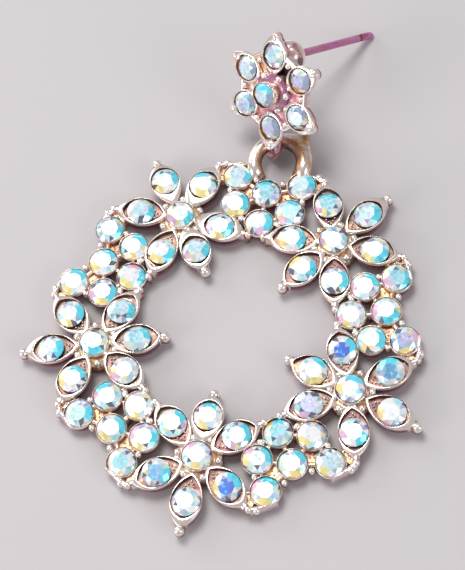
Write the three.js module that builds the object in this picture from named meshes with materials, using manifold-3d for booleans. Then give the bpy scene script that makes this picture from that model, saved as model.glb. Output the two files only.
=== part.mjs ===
// A flower wreath drop earring, lying face up on a flat surface.
// Millimetres, +Z up. The wreath lies flat; the stud leans on its loop and on the tip of its post.
import * as THREE from 'three';
import { mergeVertices } from 'three/addons/utils/BufferGeometryUtils.js';
import Module from 'manifold-3d';

const wasm = await Module();
wasm.setup();

// Wreath layout
const flowerCount = 5;
const flowerCircleRadius = 12;
const clusterStepAngle = 360 / flowerCount;

// Stones and the metal that holds them
const stoneDiameter = 2.0;
const stoneSides = 8;
const tableShare = 0.56;
const crownHeight = 0.42;
const girdleHeight = 0.1;
const pavilionHeight = 0.6;
const stoneSideGap = 0.18;
const stoneFloorGap = 0.3;
const rimWall = 0.2;
const rimAboveGirdle = 0.12;
const cutPastRim = 1;

// Heights of the rims above the flat back
const petalRimHeight = 1.85;
const hubRimHeight = 2.25;
const clusterRimHeight = 1.6;

// Petal cells: long pointed cells with a round stone at the middle and a bead at the tip
const petalPointInHub = 0.35;
const petalOuter = 2.25;
const petalArcSteps = 2;
const tipSteps = 5;
const neckWidth = 0.44;
const tipBeadDiameter = 0.62;
const tipReachPastStone = 2.95;
const petals = [
  { name: 'outward', angle: 0, stoneReach: 3.98 },
  { name: 'outer_left', angle: 56, stoneReach: 3.72 },
  { name: 'inner_left', angle: 131, stoneReach: 3.77 },
  { name: 'inward', angle: 180, stoneReach: 3.7 },
  { name: 'inner_right', angle: -131, stoneReach: 3.77 },
  { name: 'outer_right', angle: -56, stoneReach: 3.72 },
];

// Round cups of a cluster: along the radius and across it, as shares of the flower circle's radius
const clusterCups = [
  { name: 'a', along: 0.873, across: 0 },
  { name: 'b_left', along: 0.995, across: 0.211 },
  { name: 'b_right', along: 0.995, across: -0.211 },
  { name: 'c', along: 1.127, across: 0 },
  { name: 'd_left', along: 1.232, across: 0.248 },
  { name: 'd_right', along: 1.232, across: -0.248 },
];
const clusterJoints = [
  ['a', 'b_left'], ['a', 'b_right'], ['a', 'c'],
  ['c', 'b_left'], ['c', 'b_right'],
  ['c', 'd_left'], ['c', 'd_right'],
  ['b_left', 'd_left'], ['b_right', 'd_right'],
];
const cupSides = 8;
const barWidth = 0.5;
const barBelowRim = 0.25;

// Ring that is cast onto the top of the wreath
const ringHole = 3.3;
const ringWire = 1.25;
const ringSide = 0.42;
const ringPastCups = 0.22;
const ringRightEnd = -15;
const ringLeftEnd = 208;
const ringSteps = 14;
const wireSides = 6;
const ringCornerAngle = 58;
const ringCornerReach = 1.25;
const cornerShare = 0.85;

// Stud
const studPetalCount = 6;
const studStoneReach = 3.35;
const studStoneDiameter = 1.8;
const studPetalOuter = 1.6;
const studTipReachPastStone = 1.8;
const studTipBeadDiameter = 0.74;
const studDepth = 1.3;
const studHubRise = 1.3;
const studTurn = -29.4;
const studLean = 52.9;
const studRoll = 21.1;

// Loop on the back of the stud, round the wreath's ring
const loopWire = 0.68;
const loopClearance = 0.2;
const loopLength = 5.55;
const loopPastRing = 0.15;
const loopSide = -0.13;
const loopTopBelowStone = 0.15;
const loopSwing = 59;
const loopSolderDepth = 0.12;
const loopRingAngle = 118;
const loopSteps = 20;

// Pad and post
const padDiameter = 3.4;
const padThickness = 0.42;
const padSides = 16;
const padAboveCentre = 2.77;
const bossDiameter = 1.9;
const bossLength = 1.2;
const postDiameter = 0.7;
const postLength = 12.1;
const postPoint = 0.5;
const postTipShare = 0.4;
const postLeanSide = 3.2;
const postLeanDown = 1.45;
const postSides = 10;

const stoneRadius = stoneDiameter / 2;
const pocketRadius = stoneRadius + stoneSideGap;
const cupRadius = pocketRadius + rimWall;
const wreathPetal = {
  outer: petalOuter,
  tipReach: tipReachPastStone,
  tipBead: tipBeadDiameter,
  stoneRadius,
};
const studPetal = {
  outer: studPetalOuter,
  tipReach: studTipReachPastStone,
  tipBead: studTipBeadDiameter,
  stoneRadius: studStoneDiameter / 2,
};

const metal = new THREE.MeshStandardMaterial({ color: 0xf0dcc4, roughness: 0.22, metalness: 1 });
const crystal = new THREE.MeshStandardMaterial({ color: 0xcdf1f7, roughness: 0.04, metalness: 0.15 });

const radians = (degrees) => THREE.MathUtils.degToRad(degrees);

// A closed geometry as a solid that can be joined and cut
function solid(geometry) {
  const plain = geometry.index ? geometry.toNonIndexed() : geometry.clone();
  plain.deleteAttribute('normal');
  plain.deleteAttribute('uv');
  const merged = mergeVertices(plain, 1e-4);
  const vertProperties = new Float32Array(merged.attributes.position.array);
  const triVerts = new Uint32Array(merged.index.array);
  return new wasm.Manifold(new wasm.Mesh({ numProp: 3, vertProperties, triVerts }));
}

// The triangles of a solid as a geometry
function geometryOf(body) {
  const mesh = body.getMesh();
  const geometry = new THREE.BufferGeometry();
  const positions = new Float32Array(mesh.numVert * 3);
  for (let i = 0; i < mesh.numVert; i += 1) {
    for (let axis = 0; axis < 3; axis += 1) {
      positions[i * 3 + axis] = mesh.vertProperties[i * mesh.numProp + axis];
    }
  }
  geometry.setAttribute('position', new THREE.BufferAttribute(positions, 3));
  geometry.setIndex(new THREE.BufferAttribute(new Uint32Array(mesh.triVerts), 1));
  geometry.computeVertexNormals();
  return geometry;
}

function joined(solids) {
  return solids.reduce((sum, next) => sum.add(next));
}

// A turned shape about +Z from [radius, height] pairs, listed from the bottom up
function turned(profile, sides) {
  const points = profile.map(([radius, height]) => new THREE.Vector2(radius, height));
  return new THREE.LatheGeometry(points, sides).rotateX(Math.PI / 2);
}

function prism(shape, bottom, top, steps = 1) {
  const options = { depth: top - bottom, bevelEnabled: false, curveSegments: steps };
  return new THREE.ExtrudeGeometry(shape, options).translate(0, 0, bottom);
}

// A round cut stone: culet, girdle, crown and flat table, with its girdle's top at height zero
function stoneGeometry(radius) {
  return turned([
    [0, -girdleHeight - pavilionHeight],
    [radius, -girdleHeight],
    [radius, 0],
    [radius * tableShare, crownHeight],
    [0, crownHeight],
  ], stoneSides);
}

// A pointed cell's outline: arcs from the inner point to the widest place and on to the outer point
function pointedOutline(inner, outer, halfWidth) {
  const arc = (length) => {
    const radius = (length * length + halfWidth * halfWidth) / (2 * halfWidth);
    return { radius, swing: Math.asin(length / radius) };
  };
  const rear = arc(inner);
  const front = arc(outer);
  const quarter = Math.PI / 2;
  const shape = new THREE.Shape();
  shape.absarc(0, halfWidth - rear.radius, rear.radius, quarter + rear.swing, quarter, true);
  shape.absarc(0, halfWidth - front.radius, front.radius, quarter, quarter - front.swing, true);
  shape.absarc(0, front.radius - halfWidth, front.radius, -quarter + front.swing, -quarter, true);
  shape.absarc(0, rear.radius - halfWidth, rear.radius, -quarter, -quarter - rear.swing, true);
  return shape;
}

// The tip of a petal: a neck that starts inside the cell's point, and a round bead at its end
function tipOutline(neckStart, reach, beadDiameter) {
  const beadRadius = beadDiameter / 2;
  const open = Math.asin(neckWidth / beadDiameter);
  const shape = new THREE.Shape();
  shape.moveTo(neckStart, -neckWidth / 2);
  shape.lineTo(neckStart, neckWidth / 2);
  shape.absarc(reach - beadRadius, 0, beadRadius, Math.PI - open, -Math.PI + open, true);
  shape.closePath();
  return shape;
}

// The length of a petal from its stone to its inner point, which is sunk in the hub's wall
function innerLength(kind, stoneReach) {
  return stoneReach - (kind.stoneRadius + stoneSideGap + rimWall) + petalPointInHub;
}

// A petal's cell from its back to its rim, with its stone's axis at the origin and its tip along +X
function petalBody(kind, stoneReach, bottom, rim) {
  const neckStart = Math.min(kind.outer, kind.tipReach - kind.tipBead) - neckWidth;
  const halfWidth = kind.stoneRadius + stoneSideGap + rimWall;
  const cell = pointedOutline(innerLength(kind, stoneReach), kind.outer, halfWidth);
  const tip = tipOutline(neckStart, kind.tipReach, kind.tipBead);
  return solid(prism(cell, bottom, rim, petalArcSteps)).add(solid(prism(tip, bottom, rim, tipSteps)));
}

function pocketFloor(rim) {
  return rim - rimAboveGirdle - girdleHeight - pavilionHeight - stoneFloorGap;
}

function petalPocket(kind, stoneReach, rim) {
  const halfWidth = kind.stoneRadius + stoneSideGap;
  const share = halfWidth / (halfWidth + rimWall);
  const pocket = pointedOutline(innerLength(kind, stoneReach) * share, kind.outer * share, halfWidth);
  return solid(prism(pocket, pocketFloor(rim), rim + cutPastRim, petalArcSteps));
}

// A solid turned about +Z by an angle in degrees, and moved
function set(body, place, angle) {
  return body.rotate([0, 0, angle]).translate([place.x, place.y, 0]);
}

function drum(radius, bottom, top) {
  return solid(turned([[0, bottom], [radius, bottom], [radius, top], [0, top]], cupSides));
}

// A round cup's wall and its pocket, for a stone of a given radius
function cupBody(radius, bottom, rim) {
  return drum(radius + stoneSideGap + rimWall, bottom, rim);
}

function cupPocket(radius, rim) {
  return drum(radius + stoneSideGap, pocketFloor(rim), rim + cutPastRim);
}

// A cup with its stone fused in: the wall, the rim, the crown and the table
function filledCup(rim) {
  const girdle = rim - rimAboveGirdle;
  return solid(turned([
    [0, 0],
    [cupRadius, 0],
    [cupRadius, rim],
    [pocketRadius, rim],
    [pocketRadius * tableShare, girdle + crownHeight],
    [0, girdle + crownHeight],
  ], cupSides));
}

function straightBar(from, to, width, bottom, top) {
  const length = from.distanceTo(to);
  const bar = new THREE.BoxGeometry(length, width, top - bottom);
  bar.rotateZ(Math.atan2(to.y - from.y, to.x - from.x));
  return bar.translate((from.x + to.x) / 2, (from.y + to.y) / 2, (bottom + top) / 2);
}

// Places round the wreath
function polar(radius, degrees) {
  return new THREE.Vector2(radius * Math.cos(radians(degrees)), radius * Math.sin(radians(degrees)));
}

const clusterAngle = (k) => 90 - clusterStepAngle * k;
const flowerAngle = (k) => clusterAngle(k) + clusterStepAngle / 2;

function onFlower(k, distance, angle) {
  return polar(flowerCircleRadius, flowerAngle(k)).add(polar(distance, flowerAngle(k) + angle));
}

function onCluster(k, cup) {
  const along = polar(cup.along * flowerCircleRadius, clusterAngle(k));
  return along.add(polar(cup.across * flowerCircleRadius, clusterAngle(k) + 90));
}

const cupNamed = (name) => clusterCups.find((cup) => cup.name === name);
const petalNamed = (name) => petals.find((petal) => petal.name === name);

// One flower of the wreath: six petals round a raised hub
function flowerParts(k) {
  const hub = polar(flowerCircleRadius, flowerAngle(k));
  const bodies = [set(cupBody(stoneRadius, 0, hubRimHeight), hub, flowerAngle(k))];
  const pockets = [set(cupPocket(stoneRadius, hubRimHeight), hub, flowerAngle(k))];
  for (const petal of petals) {
    const place = onFlower(k, petal.stoneReach, petal.angle);
    const angle = flowerAngle(k) + petal.angle;
    bodies.push(set(petalBody(wreathPetal, petal.stoneReach, 0, petalRimHeight), place, angle));
    pockets.push(set(petalPocket(wreathPetal, petal.stoneReach, petalRimHeight), place, angle));
  }
  return { bodies, pockets };
}

// One cluster: six filled cups, the bars that join them, and its bars to the flowers beside it
function clusterParts(k) {
  const bodies = [];
  for (const cup of clusterCups) {
    bodies.push(set(filledCup(clusterRimHeight), onCluster(k, cup), clusterAngle(k)));
  }
  const bar = (from, to) => {
    bodies.push(solid(straightBar(from, to, barWidth, 0, clusterRimHeight - barBelowRim)));
  };
  for (const [first, second] of clusterJoints) {
    bar(onCluster(k, cupNamed(first)), onCluster(k, cupNamed(second)));
  }
  const sides = [
    { flower: k, outer: 'outer_right', inner: 'inner_right', d: 'd_left', b: 'b_left' },
    { flower: k + 1, outer: 'outer_left', inner: 'inner_left', d: 'd_right', b: 'b_right' },
  ];
  for (const side of sides) {
    const outer = petalNamed(side.outer);
    const inner = petalNamed(side.inner);
    const tipReach = outer.stoneReach + tipReachPastStone - tipBeadDiameter / 2;
    const tip = onFlower(side.flower, tipReach, outer.angle);
    bar(tip, onCluster(k, cupNamed(side.d)));
    bar(onFlower(side.flower, inner.stoneReach + cupRadius, inner.angle), onCluster(k, cupNamed(side.b)));
  }
  return bodies;
}

// The ring's place: past the outer middle cup of the first cluster
const topCup = onCluster(0, cupNamed('c'));
const ringRadius = (ringHole + ringWire) / 2;
const ringAlong = topCup.y + cupRadius + ringPastCups + ringHole / 2;
const ringHeight = ringWire / 2 + loopClearance + loopWire;
const ringCentre = new THREE.Vector3(ringSide, ringAlong, ringHeight);

// A tube along an open or closed path, with flat ends
function tube(path, radius, steps) {
  const section = new THREE.Shape();
  for (let i = 0; i < wireSides; i += 1) {
    const corner = polar(radius, 360 * i / wireSides + 180 / wireSides);
    if (i === 0) section.moveTo(corner.x, corner.y);
    else section.lineTo(corner.x, corner.y);
  }
  section.closePath();
  return new THREE.ExtrudeGeometry(section, { steps, extrudePath: path, bevelEnabled: false });
}

// The ring's path: an arch over the top of the wreath, whose ends are sunk in the outer cups
class RingArch extends THREE.Curve {
  getPoint(t, target = new THREE.Vector3()) {
    const place = polar(ringRadius, THREE.MathUtils.lerp(ringRightEnd, ringLeftEnd, t));
    return target.set(place.x, place.y, 0).add(ringCentre);
  }
}

function ringParts() {
  const arch = tube(new RingArch(), ringWire / 2, ringSteps);
  const onRing = (radius) => {
    const place = polar(radius, ringCornerAngle);
    return new THREE.Vector3(place.x, place.y, 0).add(ringCentre);
  };
  const corner = new THREE.LineCurve3(onRing(ringRadius), onRing(ringRadius + ringCornerReach));
  return [solid(arch), solid(tube(corner, ringWire * cornerShare / 2, 1))];
}

function wreathSetting() {
  const bodies = ringParts();
  const pockets = [];
  for (let k = 0; k < flowerCount; k += 1) {
    const flower = flowerParts(k);
    bodies.push(...flower.bodies, ...clusterParts(k));
    pockets.push(...flower.pockets);
  }
  return geometryOf(joined(bodies).subtract(joined(pockets)));
}

// The stud in its own frame: its petals' rims at height zero, its top petal towards +Y
const studPetalAngle = (i) => 90 - 360 * i / studPetalCount;
const studBack = -studDepth;
const padBack = studBack - bossLength - padThickness;

function studFlower() {
  const bodies = [cupBody(studPetal.stoneRadius, studBack, studHubRise)];
  const pockets = [cupPocket(studPetal.stoneRadius, studHubRise)];
  for (let i = 0; i < studPetalCount; i += 1) {
    const angle = studPetalAngle(i);
    const place = polar(studStoneReach, angle);
    bodies.push(set(petalBody(studPetal, studStoneReach, studBack, 0), place, angle));
    pockets.push(set(petalPocket(studPetal, studStoneReach, 0), place, angle));
  }
  return joined(bodies).subtract(joined(pockets));
}

function padAndPost() {
  const pad = turned([
    [0, padBack],
    [padDiameter / 2, padBack],
    [padDiameter / 2, padBack + padThickness],
    [bossDiameter / 2, padBack + padThickness],
    [bossDiameter / 2, studBack + padThickness],
    [0, studBack + padThickness],
  ], padSides);
  const radius = postDiameter / 2;
  const post = turned([
    [0, -postLength],
    [radius * postTipShare, -postLength],
    [radius, -postLength + postPoint],
    [radius, padThickness / 2],
    [0, padThickness / 2],
  ], postSides);
  post.rotateY(-radians(postLeanSide)).rotateX(-radians(postLeanDown)).translate(0, 0, padBack);
  return solid(pad).add(solid(post)).translate([0, padAboveCentre, 0]);
}

// The loop: a closed oval whose upper strand is soldered to the flower's back
const strandApart = ringWire + loopWire + 2 * loopClearance;
const loopEnd = strandApart / 2;
const solderHeight = studBack - loopWire / 2 + loopSolderDepth;
const loopTop = -studStoneReach + loopEnd - loopTopBelowStone;

class Oval extends THREE.Curve {
  getPoint(t, target = new THREE.Vector3()) {
    const straight = loopLength - strandApart;
    const round = Math.PI * loopEnd;
    let s = t * 2 * (straight + round);
    if (s < straight) return target.set(0, -s, 0);
    s -= straight;
    if (s < round) {
      const turn = s / loopEnd;
      return target.set(0, -straight - loopEnd * Math.sin(turn), -loopEnd + loopEnd * Math.cos(turn));
    }
    s -= round;
    if (s < straight) return target.set(0, -straight + s, -strandApart);
    s -= straight;
    const turn = s / loopEnd;
    return target.set(0, loopEnd * Math.sin(turn), -loopEnd - loopEnd * Math.cos(turn));
  }
}

// A closed tube along a closed path: the sections' rings are joined end to end
function closedTube(curve, radius, steps) {
  const positions = [];
  const index = [];
  const side = new THREE.Vector3(1, 0, 0);
  for (let i = 0; i < steps; i += 1) {
    const point = curve.getPointAt(i / steps);
    const tangent = curve.getTangentAt(i / steps);
    const out = new THREE.Vector3().crossVectors(side, tangent);
    for (let j = 0; j < wireSides; j += 1) {
      const corner = polar(radius, 360 * j / wireSides);
      const place = point.clone().addScaledVector(side, corner.x).addScaledVector(out, corner.y);
      positions.push(place.x, place.y, place.z);
      const a = i * wireSides + j;
      const b = i * wireSides + (j + 1) % wireSides;
      const c = ((i + 1) % steps) * wireSides + j;
      const d = ((i + 1) % steps) * wireSides + (j + 1) % wireSides;
      index.push(a, c, b, b, c, d);
    }
  }
  const geometry = new THREE.BufferGeometry();
  geometry.setAttribute('position', new THREE.BufferAttribute(new Float32Array(positions), 3));
  geometry.setIndex(index);
  return geometry;
}

function loopBody() {
  const loop = closedTube(new Oval(), loopWire / 2, loopSteps);
  return solid(loop.rotateY(radians(loopSwing)).translate(loopSide, loopTop, solderHeight));
}

function studSetting() {
  return geometryOf(joined([studFlower(), padAndPost(), loopBody()]));
}

// The stud's place: turned, leaned and rolled, with the ring's far wire through the loop
const studTilt = new THREE.Quaternion()
  .multiply(new THREE.Quaternion().setFromAxisAngle(new THREE.Vector3(0, 0, 1), radians(studTurn)))
  .multiply(new THREE.Quaternion().setFromAxisAngle(new THREE.Vector3(1, 0, 0), radians(studLean)))
  .multiply(new THREE.Quaternion().setFromAxisAngle(new THREE.Vector3(0, 0, 1), radians(studRoll)));
const loopEye = new THREE.Vector3(0, -(loopLength - strandApart) + loopPastRing, -loopEnd)
  .applyAxisAngle(new THREE.Vector3(0, 1, 0), radians(loopSwing))
  .add(new THREE.Vector3(loopSide, loopTop, solderHeight));
const ringAtLoop = polar(ringRadius, loopRingAngle);
const ringFarWire = new THREE.Vector3(ringAtLoop.x, ringAtLoop.y, 0).add(ringCentre);
const studPlace = ringFarWire.clone().sub(loopEye.clone().applyQuaternion(studTilt));

const earring = new THREE.Group();
const stud = new THREE.Group();
stud.quaternion.copy(studTilt);
stud.position.copy(studPlace);
earring.add(stud);

function addPiece(parent, name, geometry, material, x = 0, y = 0, z = 0, turn = 0) {
  const mesh = new THREE.Mesh(geometry, material);
  mesh.name = name;
  mesh.position.set(x, y, z);
  mesh.rotation.z = turn;
  parent.add(mesh);
}

addPiece(earring, 'wreath_setting', wreathSetting(), metal);
addPiece(stud, 'stud_setting', studSetting(), metal);

const stone = stoneGeometry(stoneRadius);
const studStone = stoneGeometry(studPetal.stoneRadius);
for (let k = 0; k < flowerCount; k += 1) {
  const hub = polar(flowerCircleRadius, flowerAngle(k));
  const turn = radians(flowerAngle(k));
  const flower = `flower_${k + 1}`;
  const hubHeight = hubRimHeight - rimAboveGirdle;
  addPiece(earring, `${flower}_hub_stone`, stone, crystal, hub.x, hub.y, hubHeight, turn);
  for (const petal of petals) {
    const place = onFlower(k, petal.stoneReach, petal.angle);
    const height = petalRimHeight - rimAboveGirdle;
    addPiece(earring, `${flower}_${petal.name}_stone`, stone, crystal, place.x, place.y, height, turn);
  }
}
addPiece(stud, 'stud_hub_stone', studStone, crystal, 0, 0, studHubRise - rimAboveGirdle);
for (let i = 0; i < studPetalCount; i += 1) {
  const place = polar(studStoneReach, studPetalAngle(i));
  const turn = radians(studPetalAngle(i));
  addPiece(stud, `stud_petal_${i + 1}_stone`, studStone, crystal, place.x, place.y, -rimAboveGirdle, turn);
}

// The origin is under the middle of the whole earring, on the surface that it lies on
earring.updateMatrixWorld(true);
const box = new THREE.Box3().setFromObject(earring, true);
earring.position.set(-(box.min.x + box.max.x) / 2, -(box.min.y + box.max.y) / 2, -box.min.z);

export default earring;
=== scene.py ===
"""A flower wreath drop earring of plated metal and coated crystals, lying face up.

Shapes are worked out in millimetres, in the frame of the CAD part, and go into Blender in metres.
"""
import math

import bpy
import numpy as np
from mathutils import Matrix, Vector


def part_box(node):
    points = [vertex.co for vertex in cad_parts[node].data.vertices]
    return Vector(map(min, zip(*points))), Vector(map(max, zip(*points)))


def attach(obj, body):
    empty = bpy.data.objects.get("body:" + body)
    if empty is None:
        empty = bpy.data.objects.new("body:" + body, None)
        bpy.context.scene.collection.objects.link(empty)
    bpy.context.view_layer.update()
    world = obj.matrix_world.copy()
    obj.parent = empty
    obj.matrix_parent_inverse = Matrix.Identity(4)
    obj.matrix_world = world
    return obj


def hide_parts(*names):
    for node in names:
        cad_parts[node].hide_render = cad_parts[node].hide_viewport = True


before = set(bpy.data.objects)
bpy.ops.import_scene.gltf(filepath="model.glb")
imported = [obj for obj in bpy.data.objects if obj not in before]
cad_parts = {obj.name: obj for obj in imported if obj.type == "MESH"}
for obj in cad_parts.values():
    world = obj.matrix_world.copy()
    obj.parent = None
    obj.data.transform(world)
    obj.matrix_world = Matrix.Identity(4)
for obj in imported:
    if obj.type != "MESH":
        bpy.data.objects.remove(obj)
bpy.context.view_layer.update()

MM = 0.001

# Wreath: how many flowers, and a flower's petals in turn, anticlockwise seen from above
FLOWERS = 5
PETALS = ("outward", "outer_left", "inner_left", "inward", "inner_right", "outer_right")
# Cells and pockets: inner length, outer length and half width
PETAL_CELL = (2.62, 2.25, 1.38)
PETAL_POCKETS = {
    "outward": (2.3, 1.5, 1.28),
    "outer_left": (2.15, 1.7, 1.28),
    "inner_left": (2.15, 1.75, 1.28),
    "inward": (1.95, 1.95, 1.28),
    "inner_right": (2.15, 1.75, 1.28),
    "outer_right": (2.15, 1.7, 1.28),
}
PETAL_TIP = 2.9
# How far a petal's rim falls to its point, as a share of its height
PETAL_FALL = 0.06
# Painted shade on a petal pocket's floor, seen in its empty tails
PETAL_FLOOR_SHADE = 0.72
# Grains in a pocket's empty tail, along it from its inner end and across it
TAIL_GRAINS = ((0.42, 0.0), (0.62, 0.2), (0.66, -0.2), (0.86, 0.36), (0.9, -0.38))
# Petals, by flower, that their crystal fills, and the shorter shape of those that end free
FULL_PETALS = {1: ("outward", "outer_right", "inward", "inner_right"), 4: ("inward",)}
FULL_POCKET = (1.5, 1.45, 1.28)
FULL_CELL = (2.62, 1.95, 1.38)
FULL_TIP = 2.6
# Beads at the tips of petals that end free, and of those that are joined to a cluster
PETAL_BEAD = 0.9
JOINED_BEAD = 0.6
# How far a wall leans inwards from its rim to its foot
WALL_LEAN = 0.28
# How deep a pocket's floor lies under the rim, and how much painted shade a cup's floor has
CELL_DEPTH = 0.5
CUP_FLOOR_SHADE = 0.85
CUP_RADIUS = 1.38
CUP_POCKET = 1.28
PETAL_RIM = 1.85
HUB_RIM = 2.25
CLUSTER_RIM = 1.6
# The plate under a flower: rows of radius, height, painted shade and painted pink reflection
FLOWER_PLATE = [
    (0, 0, 0.8, 0.5), (2.0, 0.0, 0.8, 0.5), (2.1, 0.1, 0.5, 0.6), (2.1, 1.2, 0.3, 0.2),
    (2.0, 1.32, 0.2, 0.0), (1.3, 1.45, 0.42, 0.0), (0, 1.45, 0.8, 0.0),
]
# The bead between two petals: how far out it stands, its radius and its top
GAP_BEAD_REACH = 1.8
GAP_BEAD = (0.32, 1.86)

# A cluster's cups: along the radius and across it, as shares of the flower circle's radius
CLUSTER_CUPS = {
    "a": (0.873, 0.0),
    "b_left": (0.995, 0.211),
    "b_right": (0.995, -0.211),
    "c": (1.127, 0.0),
    "d_left": (1.232, 0.248),
    "d_right": (1.232, -0.248),
}
CLUSTER_JOINTS = [
    ("a", "b_left"), ("a", "b_right"), ("a", "c"), ("c", "b_left"), ("c", "b_right"),
    ("c", "d_left"), ("c", "d_right"), ("b_left", "d_left"), ("b_right", "d_right"),
]
# Joints inside the cluster, with no notch beside them
INNER_JOINTS = [("a", "c"), ("c", "b_left"), ("c", "b_right")]
JOINT_WIDTH = 0.5
# The low part of a joint passes just under the cups' floors
LOW_JOINT_TOP = CLUSTER_RIM - 0.54
HIGH_JOINT_TOP = CLUSTER_RIM - 0.3
NOTCH_REACH = 0.62
# Grains on the plate between three cups, in degrees, each cluster's turned on from the last's
PLATE_GRAINS = (20, 140, 260)
PLATE_GRAIN_STEP = 40
PLATE_GRAIN_REACH = 0.22

# Webs between clusters and flowers
WEB_WIDTH = 1.45
WEB_FOOT = 0.3
WEB_TOP = 1.2
# Grains on a web: share of the way along it, and how far to its side
WEB_GRAINS = ((0.35, -0.25), (0.6, 0.05), (0.8, -0.35))
# Top of the low ridge between a flower's inner petal and a cluster's cup
INNER_WEB_TOP = 1.35

# Ring on the top of the wreath
RING_WIRE = 1.35
RING_RADIUS = 2.275
RING_SIDE = 0.42
RING_PAST_CUP = 3.25
RING_HEIGHT = 1.505
RING_ENDS = (-30, 227)
RING_DROP = 0.75
# In degrees: where its blunt corner stands, and over what angle the corner and the ends fade, in
# shape and in painted shade
RING_CORNER = 58
RING_CORNER_FADE = 11
RING_END_FADE = 14
# On the right the ring is thicker by a share, up to one angle and fading over another, and has
# more painted shade there
RING_RIGHT_FROM = 75
RING_RIGHT_FADE = 8
RING_RIGHT_MORE = 0.14

# Stud, in its own frame: its petals' rims at height zero, its top petal towards +Y
STUD_PLACE = (-0.6425, 13.7777, 7.1298)
STUD_TURNS = ((-29.4, "Z"), (52.9, "X"), (21.1, "Z"))
STUD_REACH = 3.35
STUD_CELL = (1.6, 2.1, 1.32)
STUD_POCKET = (1.2, 1.28, 1.17)
STUD_BEAD = 0.95
STUD_CUP_RADIUS = 1.2
STUD_CUP_POCKET = 1.12
STUD_TIP = 2.05
STUD_BACK = -1.3
STUD_HUB_RIM = 1.3
STUD_PETALS = 6
STUD_STEP = 60
STUD_CELL_DEPTH = 0.42
STUD_FLOOR_SHADE = 0.3
STUD_WALL_LEAN = 0.5
# The gap between two petals: how far out its plate and its outer ridge lie, and half the angle
# in degrees that the ridge spans
STUD_PLATE_REACH = 2.05
STUD_VALLEY_REACH = 3.45
STUD_VALLEY_SWING = 9.5
# Its plate's top, painted shade and painted pink reflection, by the petal before the gap
STUD_PLATES = {0: (-0.95, 1.0, 0.2), 5: (-0.22, 0.42, 0.0), 4: (-0.22, 0.3, 0.3)}
# The plate of every other gap, painted pink as a reflection
STUD_PLAIN_PLATE = (-0.22, 0.3, 0.75)
STUD_PLATE_FOOT = -1.2
# The gap whose plate and ridges are painted gold brown, with some painted shade and no pink
STUD_GOLDEN_GAP = 5
# Beads and grains in a gap, by how far out they stand
STUD_VALLEY_BEAD = 3.1
STUD_HUB_BEAD = 1.62
STUD_HUB_GRAIN = 1.95

# Loop behind the stud, pad and post
LOOP_WIRE = 0.74
LOOP_LENGTH = 5.5
LOOP_APART = 2.5
LOOP_PLACE = (-0.305, -2.335, -1.555)
LOOP_TURNS = ((59, "Y"), (-6, "X"))
PAD_PLACE = (0, 2.77, -2.92)
PAD_RADIUS = 1.5
POST_RADIUS = 0.35
POST_LENGTH = 12.1
POST_LEANS = ((-1.45, "X"), (-3.2, "Y"))

# Crystals
CRYSTAL_RADIUS = 1.26
STUD_CRYSTAL_RADIUS = 1.1
RIM_ABOVE_GIRDLE = 0.12
# The cut: facets round the table, and its sizes as shares of a crystal's radius
FACETS = 8
TABLE_SHARE = 0.57
CROWN_SHARE = 0.28
PAVILION_SHARE = 0.15
GIRDLE_SHARE = 0.08
TABLE_EDGE = 0.54
# Usual tilt in degrees of a crystal in its cup
TILT = 4.2
SEED = 11

# Edges of the metal that are sharper than this angle in degrees stay crisp
EDGE_ANGLE = 50


# Surfaces

def turned_matrix(turns):
    """Rotations in degrees about the axes, the first one outermost, as one 3x3 array."""
    total = Matrix.Identity(3)
    for degrees, axis in turns:
        total = total @ Matrix.Rotation(math.radians(degrees), 3, axis)
    return np.array(total)


def about_z(degrees):
    """A rotation in degrees about Z, as a 3x3 array."""
    return turned_matrix([(degrees, "Z")])


def way_and_side(start, end):
    """The unit vector from one point to another, and the level one to its left."""
    along = (end - start) / np.linalg.norm(end - start)
    return along, np.array([-along[1], along[0], 0.0])


def polar(radius, degrees):
    """A point at a distance and angle round +Z, at height zero."""
    angle = math.radians(degrees)
    return np.array([radius * math.cos(angle), radius * math.sin(angle), 0.0])


def placed(name, mesh, material):
    """A finished mesh as an object in the scene, in one material."""
    mesh.materials.append(material)
    mesh.update()
    piece = bpy.data.objects.new(name, mesh)
    bpy.context.scene.collection.objects.link(piece)
    return piece


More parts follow.
